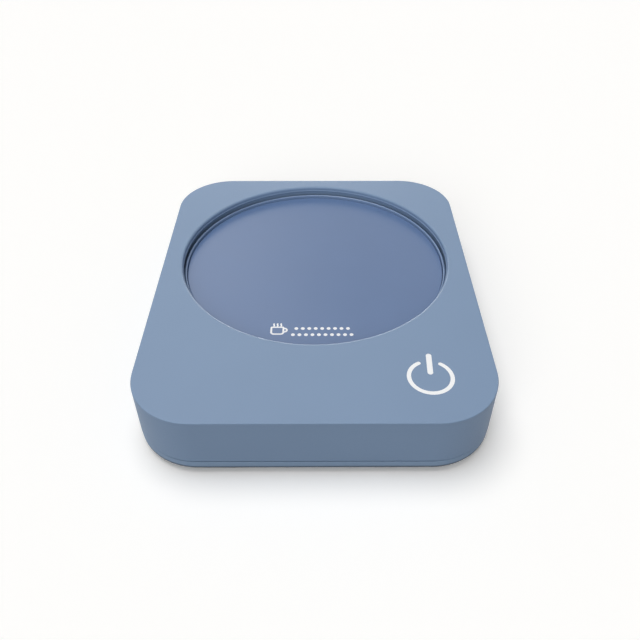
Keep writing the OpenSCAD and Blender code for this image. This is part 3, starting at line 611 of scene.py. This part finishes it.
def round_end(bm, geom, left, turn):
    """Closes the end of a line with a half disc, from its left half."""
    middle, outer = sorted(verts_of(geom), key=lambda v: v.co.dot(left))[1:]
    half = [middle, outer, bm.edges.get((middle, outer))]
    bmesh.ops.spin(bm, geom=half, cent=middle.co, axis=(0, 0, 1), angle=turn, steps=12)


def ink_film(bm, height, film):
    """Lays the flat marks on the surface at a height, and gives them the film's thickness."""
    bmesh.ops.remove_doubles(bm, verts=bm.verts, dist=0.001)
    bmesh.ops.translate(bm, vec=(0, 0, height), verts=bm.verts)
    made = bmesh.ops.extrude_face_region(bm, geom=bm.faces[:])["geom"]
    bmesh.ops.translate(bm, vec=(0, 0, film), verts=verts_of(made))


def touch_mark_mesh(marks):
    """Power sign: a ring with a gap at the top, and a bar in the gap."""
    bm = bmesh.new()
    gap = math.degrees(marks.gap)
    x, y = -marks.ring * math.sin(marks.gap), marks.ring * math.cos(marks.gap)
    stroke(bm, x, y, 180 + gap, marks.line, [(marks.ring, 360 - 2 * gap)])
    half = marks.line * 0.66                 # the bar is a third wider than the ring's line
    straight = marks.bar_high - marks.bar_low - 2 * half
    stroke(bm, 0, marks.bar_low + half, 90, 2 * half, [(straight, 0)])
    bmesh.ops.rotate(bm, matrix=Matrix.Rotation(-marks.key_turn, 3, "Z"), verts=bm.verts)
    bmesh.ops.translate(bm, vec=(marks.key_x, COVER[0].y + marks.key_front, 0), verts=bm.verts)
    ink_film(bm, COVER[1].z - marks.film, marks.film)
    return bm


def plate_print_mesh(marks):
    """Sign of a steaming mug, and two rows of dots beside it."""
    bm = bmesh.new()
    w = marks.thin_line
    side, foot_turn, rim_turn = 2.2, 0.9, 0.3
    wall = [
        (side, 0), (foot_turn, 90), (side, 0), (rim_turn, 90),
        (3.4, 0), (rim_turn, 90), (side, 0), (foot_turn, 90)]
    stroke(bm, -1.2, -2.8, 0, w, wall, ends="joined")
    handle = [(0.85, 180)]
    stroke(bm, 1.9 + w / 2, -1.7, 0, w, handle, ends="butt")
    wisp = [(0.55, 60), (0.55, -60)]
    for x in (-1.3, -0.1, 1.1):
        stroke(bm, x, 1.2, 60, w * 0.85, wisp)
    bmesh.ops.translate(bm, vec=(-marks.mug_x, 0, 0), verts=bm.verts)
    rows_x, rows_y = 2.4, -1.6               # middle of the rows, from the middle of the signs
    for row, count in ((0.5, 9), (-0.5, 10)):
        for i in range(count):
            x = (i - (count - 1) / 2) * marks.dot_pitch + rows_x
            bmesh.ops.create_circle(
                bm, cap_ends=True, segments=20, radius=marks.dot / 2,
                matrix=Matrix.Translation((x, row * marks.row_pitch + rows_y, 0)))
    bmesh.ops.translate(bm, vec=(WELL.x, WELL.y - marks.sign_front, 0), verts=bm.verts)
    ink_film(bm, PLATE[1].z, marks.film)
    return bm


def contacts_mesh():
    """Row of contact strips on both faces of the inlet's tongue."""
    bm = bmesh.new()
    low, high = TONGUE
    count, pitch, set_back = 12, 0.5, 2.1
    width, length, thick = 0.26, 3.4, 0.03
    for i in range(count):
        x = (i - (count - 1) / 2) * pitch
        for z in (low.z - thick / 2, high.z + thick / 2):
            strip = bmesh.ops.create_cube(bm, size=1)["verts"]
            bmesh.ops.scale(bm, vec=(width, length, thick), verts=strip)
            bmesh.ops.translate(bm, vec=(x, high.y - set_back, z), verts=strip)
    return bm


# ---- Materials --------------------------------------------------------------

def add(tree, kind, inputs=None, **settings):
    """Adds a node with its settings. An input is a value, or the output socket it is linked to."""
    made = tree.nodes.new(kind)
    for key, value in settings.items():
        setattr(made, key, value)
    for key, value in (inputs or {}).items():
        if isinstance(value, bpy.types.NodeSocket):
            tree.links.new(value, made.inputs[key])
        elif isinstance(value, tuple) and made.inputs[key].type == "RGBA":
            made.inputs[key].default_value = (*value[:3], 1)
        else:
            made.inputs[key].default_value = value
    return made


def material(name):
    """A new material with an empty node tree."""
    made = bpy.data.materials.new(name)
    made.use_nodes = True
    made.node_tree.nodes.clear()
    return made


def grain(tree, millimetres, detail=2.0, stretch=(1, 1, 1)):
    """Noise on Object coordinates whose features have a size in millimetres."""
    place = add(tree, "ShaderNodeTexCoord").outputs["Object"]
    place = add(tree, "ShaderNodeMapping", {"Vector": place, "Scale": stretch}).outputs[0]
    return add(
        tree, "ShaderNodeTexNoise",
        {"Vector": place, "Scale": 1 / (millimetres * MM), "Detail": detail}).outputs["Fac"]


def between(tree, value, low, high):
    """Noise, which mostly lies from 0.3 to 0.7, spread over a range."""
    return add(tree, "ShaderNodeMapRange", {
        "Value": value, "From Min": 0.3, "From Max": 0.7, "To Min": low, "To Max": high}).outputs[0]


def mottled(tree, colour, value, amount):
    """The colour, a little darker and lighter with the noise."""
    darker = tuple(c * (1 - amount) for c in colour)
    lighter = tuple(min(1, c * (1 + amount)) for c in colour)
    factor = between(tree, value, 0, 1)
    return add(
        tree, "ShaderNodeMix", {0: factor, 6: darker, 7: lighter}, data_type="RGBA").outputs[2]


def relief(tree, height, millimetres):
    """Normal from a height, its full range given in millimetres."""
    return add(
        tree, "ShaderNodeBump",
        {"Height": height, "Strength": 1.0, "Distance": millimetres * MM}).outputs[0]


def surface(made, inputs):
    """Ends the material with a Principled shader."""
    tree = made.node_tree
    shader = add(tree, "ShaderNodeBsdfPrincipled", inputs)
    add(tree, "ShaderNodeOutputMaterial", {"Surface": shader.outputs[0]})
    return made


def painted_foot_shade(tree, colour, upper, lower, shade):
    """The colour with painted shade: a dark line round the foot, where its rounding turns down.

    Upper and lower are the heights in millimetres where the line's two edges go from unshaded
    to shaded. The underside, below them, is left unshaded.
    """
    place = add(tree, "ShaderNodeTexCoord").outputs["Object"]
    height = add(tree, "ShaderNodeSeparateXYZ", {0: place}).outputs["Z"]
    above, below = [
        add(tree, "ShaderNodeMapRange", {
            "Value": height, "From Min": unshaded_height * MM, "From Max": shaded_height * MM, "To Max": 1.0},
            interpolation_type="SMOOTHSTEP").outputs[0]
        for unshaded_height, shaded_height in (upper, lower)]
    factor = add(tree, "ShaderNodeMath", {0: above, 1: below}, operation="MULTIPLY").outputs[0]
    return add(
        tree, "ShaderNodeMix", {0: factor, 6: colour, 7: (shade, shade, shade)},
        data_type="RGBA", blend_type="MULTIPLY").outputs[2]


def moulded_plastic(name, colour, roughness, ior, pit_mm, pit_depth_mm, foot=None):
    """Thermoplastic moulded in a spark-eroded tool.

    The tool's pits give a satin skin that breaks up the sheen, and the flow of the melt
    leaves the faintest clouds of colour. The real pits are about 0.05 mm across, too fine
    to show, so they are drawn coarser. A foot gives the heights of a painted shade line round the
    foot, and how dark it is.
    """
    made = material(name)
    tree = made.node_tree
    pits = grain(tree, pit_mm, 3)
    clouds = grain(tree, 24, 1)
    tone = mottled(tree, colour, clouds, 0.012)
    return surface(made, {
        # With a foot, the colour gets painted shade: a dark line round the foot.
        "Base Color": painted_foot_shade(tree, tone, *foot) if foot else tone,
        "Roughness": between(tree, pits, roughness - 0.05, roughness + 0.05),
        "IOR": ior,
        "Normal": relief(tree, pits, pit_depth_mm)})


def powder_coat(name, colour):
    """Aluminium with a baked satin powder coat.

    The coat levels to a fine orange peel about 0.8 mm across, so reflections are soft and a
    little uneven.
    """
    made = material(name)
    tree = made.node_tree
    peel = grain(tree, 0.8, 1)
    rub = grain(tree, 14, 3)
    return surface(made, {
        "Base Color": mottled(tree, colour, rub, 0.01),
        "Roughness": between(tree, rub, 0.28, 0.32),
        "IOR": 1.5,
        "Coat Weight": 0.15,
        "Coat Roughness": 0.3,
        "Normal": relief(tree, peel, 0.004)})


def screen_ink(name, colour):
    """Screen-printed ink, a thin opaque film with the print mesh's faint unevenness."""
    made = material(name)
    tree = made.node_tree
    mesh_marks = grain(tree, 0.3, 1)
    return surface(made, {
        "Base Color": mottled(tree, colour, mesh_marks, 0.01),
        "Roughness": between(tree, mesh_marks, 0.45, 0.55),
        "IOR": 1.5,
        "Normal": relief(tree, mesh_marks, 0.002)})


def rubber(name, colour, roughness=0.78):
    """Moulded rubber: a dull skin with a fine bloom, drawn 0.4 mm across so that it shows."""
    made = material(name)
    tree = made.node_tree
    bloom = grain(tree, 0.4, 4)
    dust = grain(tree, 6, 3)
    return surface(made, {
        "Base Color": mottled(tree, colour, dust, 0.08),
        "Roughness": between(tree, dust, roughness - 0.06, roughness + 0.06),
        "IOR": 1.52,
        "Normal": relief(tree, bloom, 0.012)})


def plated_metal(name, colour, roughness, draw=(1, 1, 1), grain_mm=0.5):
    """Plated or bare metal: bright, with the streaks of the drawing or cutting that shaped it."""
    made = material(name)
    tree = made.node_tree
    streaks = grain(tree, grain_mm, 3, draw)
    stain = grain(tree, 3, 2)
    return surface(made, {
        "Base Color": mottled(tree, colour, stain, 0.05),
        "Metallic": 1.0,
        "Roughness": between(tree, streaks, roughness - 0.08, roughness + 0.08),
        "Normal": relief(tree, streaks, 0.004)})


def needled_felt(name, colour):
    """Needled mineral felt: short matted fibres that lie mostly flat, dull and lint-soft."""
    made = material(name)
    tree = made.node_tree
    fibres = grain(tree, 0.35, 5, (1, 3, 1))
    tufts = grain(tree, 3, 3)
    return surface(made, {
        "Base Color": mottled(tree, colour, tufts, 0.1),
        "Roughness": between(tree, fibres, 0.85, 0.98),
        "Sheen Weight": 0.3,
        "Sheen Roughness": 0.5,
        "IOR": 1.5,
        "Normal": relief(tree, fibres, 0.12)})


def solder_mask(name, colour):
    """Glass laminate under a glossy solder mask, which shows the weave as a fine check."""
    made = material(name)
    tree = made.node_tree
    place = add(tree, "ShaderNodeTexCoord").outputs["Object"]
    weave = add(
        tree, "ShaderNodeTexWave", {"Vector": place, "Scale": 1 / (6 * MM), "Distortion": 0.4},
        bands_direction="DIAGONAL").outputs["Fac"]
    return surface(made, {
        "Base Color": mottled(tree, colour, weave, 0.06),
        "Roughness": between(tree, weave, 0.28, 0.36),
        "IOR": 1.52,
        "Normal": relief(tree, weave, 0.006)})


def clear_film(name, colour):
    """Amber polyimide film: a smooth glossy skin with faint lamination ripples."""
    made = material(name)
    tree = made.node_tree
    ripple = grain(tree, 4, 2)
    return surface(made, {
        "Base Color": mottled(tree, colour, ripple, 0.04),
        "Roughness": between(tree, ripple, 0.18, 0.28),
        "IOR": 1.7,
        "Coat Weight": 0.4,
        "Normal": relief(tree, ripple, 0.02)})


def inner_finishes():
    """Finishes of the CAD nodes that stay, by node."""
    steel = plated_metal("Zinc-plated steel", linear("a9acb0"), 0.34, grain_mm=0.25)
    tin = plated_metal("Tinned spring steel", linear("b9bcc0"), 0.26, draw=(1, 1, 0.2))
    track = plated_metal("Etched steel foil", linear("a8a49a"), 0.38)
    aluminium = plated_metal("Drawn aluminium", linear("c4c6c9"), 0.3, draw=(1, 1, 0.1))
    brass = plated_metal("Phosphor bronze wire", linear("c08a55"), 0.3)
    shield = plated_metal("Galvanised sheet steel", linear("b4b8bb"), 0.42, grain_mm=4)
    silicone = rubber("Silicone rubber", linear("3a4048"), 0.6)
    nylon = moulded_plastic("Natural nylon", linear("e9e8e0"), 0.45, 1.53, 0.4, 0.01)
    epoxy = moulded_plastic("Moulded epoxy", linear("1e1f22"), 0.55, 1.55, 0.3, 0.012)
    tongue = moulded_plastic("Liquid-crystal polymer", linear("1b1c1e"), 0.4, 1.6, 0.3, 0.006)
    ceramic = moulded_plastic("Glazed ceramic", linear("e6e3da"), 0.2, 1.52, 1.0, 0.004)
    red_lead = moulded_plastic("Red PVC insulation", linear("a82a24"), 0.38, 1.54, 0.8, 0.006)
    white_lead = rubber("White silicone insulation", linear("e4e2dc"), 0.55)
    black_lead = moulded_plastic("Black PVC insulation", linear("2a2b2e"), 0.38, 1.54, 0.8, 0.006)
    board = solder_mask("Solder mask on glass laminate", linear("1f5a38"))
    return {
        "ring_gasket": silicone, "lead_grommet": silicone,
        "ring_screws": steel, "shield_screws": steel, "board_screws": steel,
        "inlet_screws": steel, "case_screws": steel,
        "heater_film": clear_film("Polyimide film", linear("b87a35")),
        "heater_track": track,
        "insulation_pad": needled_felt("Needled mineral felt", linear("d9d3c4")),
        "heat_shield": shield,
        "thermal_fuse": ceramic, "thermistor": epoxy,
        "main_board": board, "inlet_board": board,
        "controller_chip": epoxy, "power_transistor": epoxy, "choke_coil": epoxy,
        "chip_resistors": epoxy, "capacitors": aluminium,
        "supply_connector": nylon, "heater_connector": nylon, "sensor_connector": nylon,
        "light_shroud": nylon, "key_leds": nylon,
        "touch_spring": brass, "usb_socket_shell": tin, "usb_socket_tongue": tongue,
        "supply_leads": red_lead, "heater_leads": white_lead, "sensor_leads": black_lead,
    }


# ---- Operators --------------------------------------------------------------

class WARMER_OT_cover(Operator):
    """Builds the moulded cover"""
    bl_idname = "warmer.cover"
    bl_label = "Cover"

    def execute(self, context):
        scene = context.scene
        bm = cover_mesh(
            in_mm(scene.warmer_housing), in_mm(scene.warmer_well), in_mm(scene.warmer_marks).film)
        finish = moulded_plastic(
            "Satin ABS, cover", tuple(scene.warmer_finishes.cover),
            roughness=0.57, ior=1.53, pit_mm=0.5, pit_depth_mm=0.008)
        piece("cover", bm, finish, ["top_cover"])
        return {"FINISHED"}


class WARMER_OT_base(Operator):
    """Builds the moulded base"""
    bl_idname = "warmer.base"
    bl_label = "Base"

    def execute(self, context):
        scene = context.scene
        bm = base_mesh(in_mm(scene.warmer_housing), in_mm(scene.warmer_underside))
        # Painted shade: a dark line round the base's foot, its heights in millimetres and how dark
        # it is.
        line_upper = (3.5, 2.4)
        line_lower = (BASE[0].z + 0.1, BASE[0].z + 0.55)
        line_shade = 0.12
        finish = moulded_plastic(
            "Satin ABS, base", tuple(scene.warmer_finishes.base),
            roughness=0.6, ior=1.53, pit_mm=0.6, pit_depth_mm=0.012,
            foot=(line_upper, line_lower, line_shade))
        piece("base", bm, finish, ["base_cover"])
        return {"FINISHED"}


class WARMER_OT_surround(Operator):
    """Builds the heat-resistant surround of the plate"""
    bl_idname = "warmer.surround"
    bl_label = "Surround"

    def execute(self, context):
        scene = context.scene
        bm = surround_mesh(in_mm(scene.warmer_well))
        finish = moulded_plastic(
            "Satin PBT, surround", tuple(scene.warmer_finishes.ring),
            roughness=0.22, ior=1.56, pit_mm=0.5, pit_depth_mm=0.004)
        piece("surround", bm, finish, ["plate_ring"])
        return {"FINISHED"}


class WARMER_OT_plate(Operator):
    """Builds the heating plate"""
    bl_idname = "warmer.plate"
    bl_label = "Heating plate"

    def execute(self, context):
        scene = context.scene
        bm = plate_mesh(in_mm(scene.warmer_well))
        finish = powder_coat("Powder-coated aluminium", tuple(scene.warmer_finishes.plate))
        piece("hot_plate", bm, finish, ["heating_plate"])
        return {"FINISHED"}


class WARMER_OT_marks(Operator):
    """Prints the touch mark, the mug sign and the dots"""
    bl_idname = "warmer.marks"
    bl_label = "Printed marks"

    def execute(self, context):
        scene = context.scene
        marks = in_mm(scene.warmer_marks)
        ink = screen_ink("White screen ink", tuple(scene.warmer_finishes.ink))
        piece("touch_mark", touch_mark_mesh(marks), ink)
        piece("plate_print", plate_print_mesh(marks), ink)
        return {"FINISHED"}


class WARMER_OT_feet(Operator):
    """Builds the rubber feet"""
    bl_idname = "warmer.feet"
    bl_label = "Feet"

    def execute(self, context):
        scene = context.scene
        bm = feet_mesh(in_mm(scene.warmer_underside))
        finish = rubber("Moulded rubber", tuple(scene.warmer_finishes.rubber))
        piece("feet", bm, finish, ["rubber_feet"])
        return {"FINISHED"}


class WARMER_OT_inside(Operator):
    """Finishes the CAD nodes that stay, and adds the inlet's contacts"""
    bl_idname = "warmer.inside"
    bl_label = "Inside and inlet"

    def execute(self, context):
        for name, finish in inner_finishes().items():
            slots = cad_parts[name].material_slots
            if not slots:
                raise RuntimeError(f"{name} has no material slot")
            for slot in slots:
                slot.material = finish
        gold = plated_metal("Gold-plated contacts", linear("d9b25f"), 0.25, grain_mm=0.3)
        piece("inlet_contacts", contacts_mesh(), gold)
        return {"FINISHED"}


def seen_ray(tree):
    """1 for a ray that the camera, a reflection or glass sees by, else 0."""
    rays = add(tree, "ShaderNodeLightPath").outputs
    seen = rays["Is Camera Ray"]
    for kind in ("Is Glossy Ray", "Is Transmission Ray"):
        seen = add(tree, "ShaderNodeMath", {0: seen, 1: rays[kind]}, operation="MAXIMUM").outputs[0]
    return seen


def floor_material(glow):
    """Matt white paper sweep. It keeps the shadow, and a little white is added for the eye."""
    made = material("Matt white paper")
    tree = made.node_tree
    seen = seen_ray(tree)
    thrown_back = linear("9e9e9e")           # the light that the floor sends up to the object
    shown = (1.1, 1.092, 1.075)              # a little over white, so that the lit floor is white
    tone = add(tree, "ShaderNodeMix", {0: seen, 6: thrown_back, 7: shown}, data_type="RGBA")
    paper = add(tree, "ShaderNodeBsdfDiffuse", {"Color": tone.outputs[2]})
    strength = add(tree, "ShaderNodeMath", {0: seen, 1: glow}, operation="MULTIPLY")
    white = add(tree, "ShaderNodeEmission", {"Color": (1, 1, 1), "Strength": strength.outputs[0]})
    both = add(tree, "ShaderNodeAddShader", {0: paper.outputs[0], 1: white.outputs[0]})
    add(tree, "ShaderNodeOutputMaterial", {"Surface": both.outputs[0]})
    return made


def light_sky(scene, strength):
    """World that lights at a strength and shows white to the eye and in reflections."""
    world = bpy.data.worlds.new("Studio white")
    scene.world = world
    world.use_nodes = True
    tree = world.node_tree
    tree.nodes.clear()
    level = add(
        tree, "ShaderNodeMapRange", {"Value": seen_ray(tree), "To Min": strength, "To Max": 1.0})
    glow = add(tree, "ShaderNodeBackground", {"Color": (1, 1, 1), "Strength": level.outputs[0]})
    add(tree, "ShaderNodeOutputWorld", {"Surface": glow.outputs[0]})


def soft_light(scene, name, strength, spread, height, left, sheen_only=False):
    """Large soft light, even over the whole object, or one that shows only as sheen."""
    lamp = bpy.data.lights.new(name, "SUN")
    lamp.energy = strength
    lamp.angle = spread
    made = bpy.data.objects.new(name, lamp)
    made.rotation_euler = (height - math.pi / 2, 0, left)
    made.visible_diffuse = not sheen_only
    scene.collection.objects.link(made)


class WARMER_OT_stage(Operator):
    """Sets up the floor, light and camera"""
    bl_idname = "warmer.stage"
    bl_label = "Stage"

    def execute(self, context):
        scene = context.scene
        studio = scene.warmer_studio
        bm = bmesh.new()
        floor_half = 4.0                     # metres
        bmesh.ops.create_grid(bm, x_segments=1, y_segments=1, size=floor_half)
        mesh = bpy.data.meshes.new("floor")
        bm.to_mesh(mesh)
        bm.free()
        mesh.materials.append(floor_material(studio.floor_glow))
        floor = bpy.data.objects.new("floor", mesh)
        scene.collection.objects.link(floor)

        light_sky(scene, studio.sky)
        for key, sheen_only in (("key", False), ("fill", False), ("sheen", True), ("rim", True)):
            spread, height, left = [
                getattr(studio, f"{key}_{part}") for part in ("spread", "height", "left")]
            soft_light(
                scene, f"{key.title()} light", getattr(studio, key), spread, height, left,
                sheen_only)
        lens = bpy.data.cameras.new("Camera")
        lens.sensor_width = 36
        lens.lens = studio.focal
        lens.clip_start, lens.clip_end = 0.01, 20
        camera = bpy.data.objects.new("Camera", lens)
        camera.location = (studio.camera_x, -studio.camera_front, studio.camera_up)
        camera.rotation_euler = (math.pi / 2 - studio.pitch, 0, -studio.yaw)
        scene.collection.objects.link(camera)
        scene.camera = camera
        scene.view_settings.view_transform = "Standard"
        return {"FINISHED"}


class WARMER_PT_panel(Panel):
    """Lists the warmer's sizes, finishes and steps"""
    bl_idname = "WARMER_PT_panel"
    bl_label = "Mug Warmer"
    bl_space_type = "VIEW_3D"
    bl_region_type = "UI"
    bl_category = "Mug Warmer"

    def draw(self, context):
        layout = self.layout
        for step in STEPS:
            layout.operator(step.bl_idname)
        for key, group in GROUPS.items():
            box = layout.box()
            box.label(text=group.__doc__)
            for value in group.__annotations__:
                box.prop(getattr(context.scene, key), value)


GROUPS = {
    "warmer_housing": WarmerHousing,
    "warmer_underside": WarmerUnderside,
    "warmer_well": WarmerWell,
    "warmer_marks": WarmerMarks,
    "warmer_finishes": WarmerFinishes,
    "warmer_studio": WarmerStudio,
}
STEPS = (
    WARMER_OT_cover, WARMER_OT_base, WARMER_OT_surround, WARMER_OT_plate,
    WARMER_OT_marks, WARMER_OT_feet, WARMER_OT_inside, WARMER_OT_stage,
)


def register():
    for group in GROUPS.values():
        bpy.utils.register_class(group)
    for key, group in GROUPS.items():
        setattr(bpy.types.Scene, key, PointerProperty(type=group))
    for step in STEPS:
        bpy.utils.register_class(step)
    bpy.utils.register_class(WARMER_PT_panel)


def unregister():
    bpy.utils.unregister_class(WARMER_PT_panel)
    for step in reversed(STEPS):
        bpy.utils.unregister_class(step)
    for key in GROUPS:
        delattr(bpy.types.Scene, key)
    for group in reversed(GROUPS.values()):
        bpy.utils.unregister_class(group)


def main():
    """Runs the steps in order."""
    register()
    bpy.ops.warmer.cover()
    bpy.ops.warmer.base()
    bpy.ops.warmer.surround()
    bpy.ops.warmer.plate()
    bpy.ops.warmer.marks()
    bpy.ops.warmer.feet()
    bpy.ops.warmer.inside()
    bpy.ops.warmer.stage()


if __name__ == "__main__":
    main()
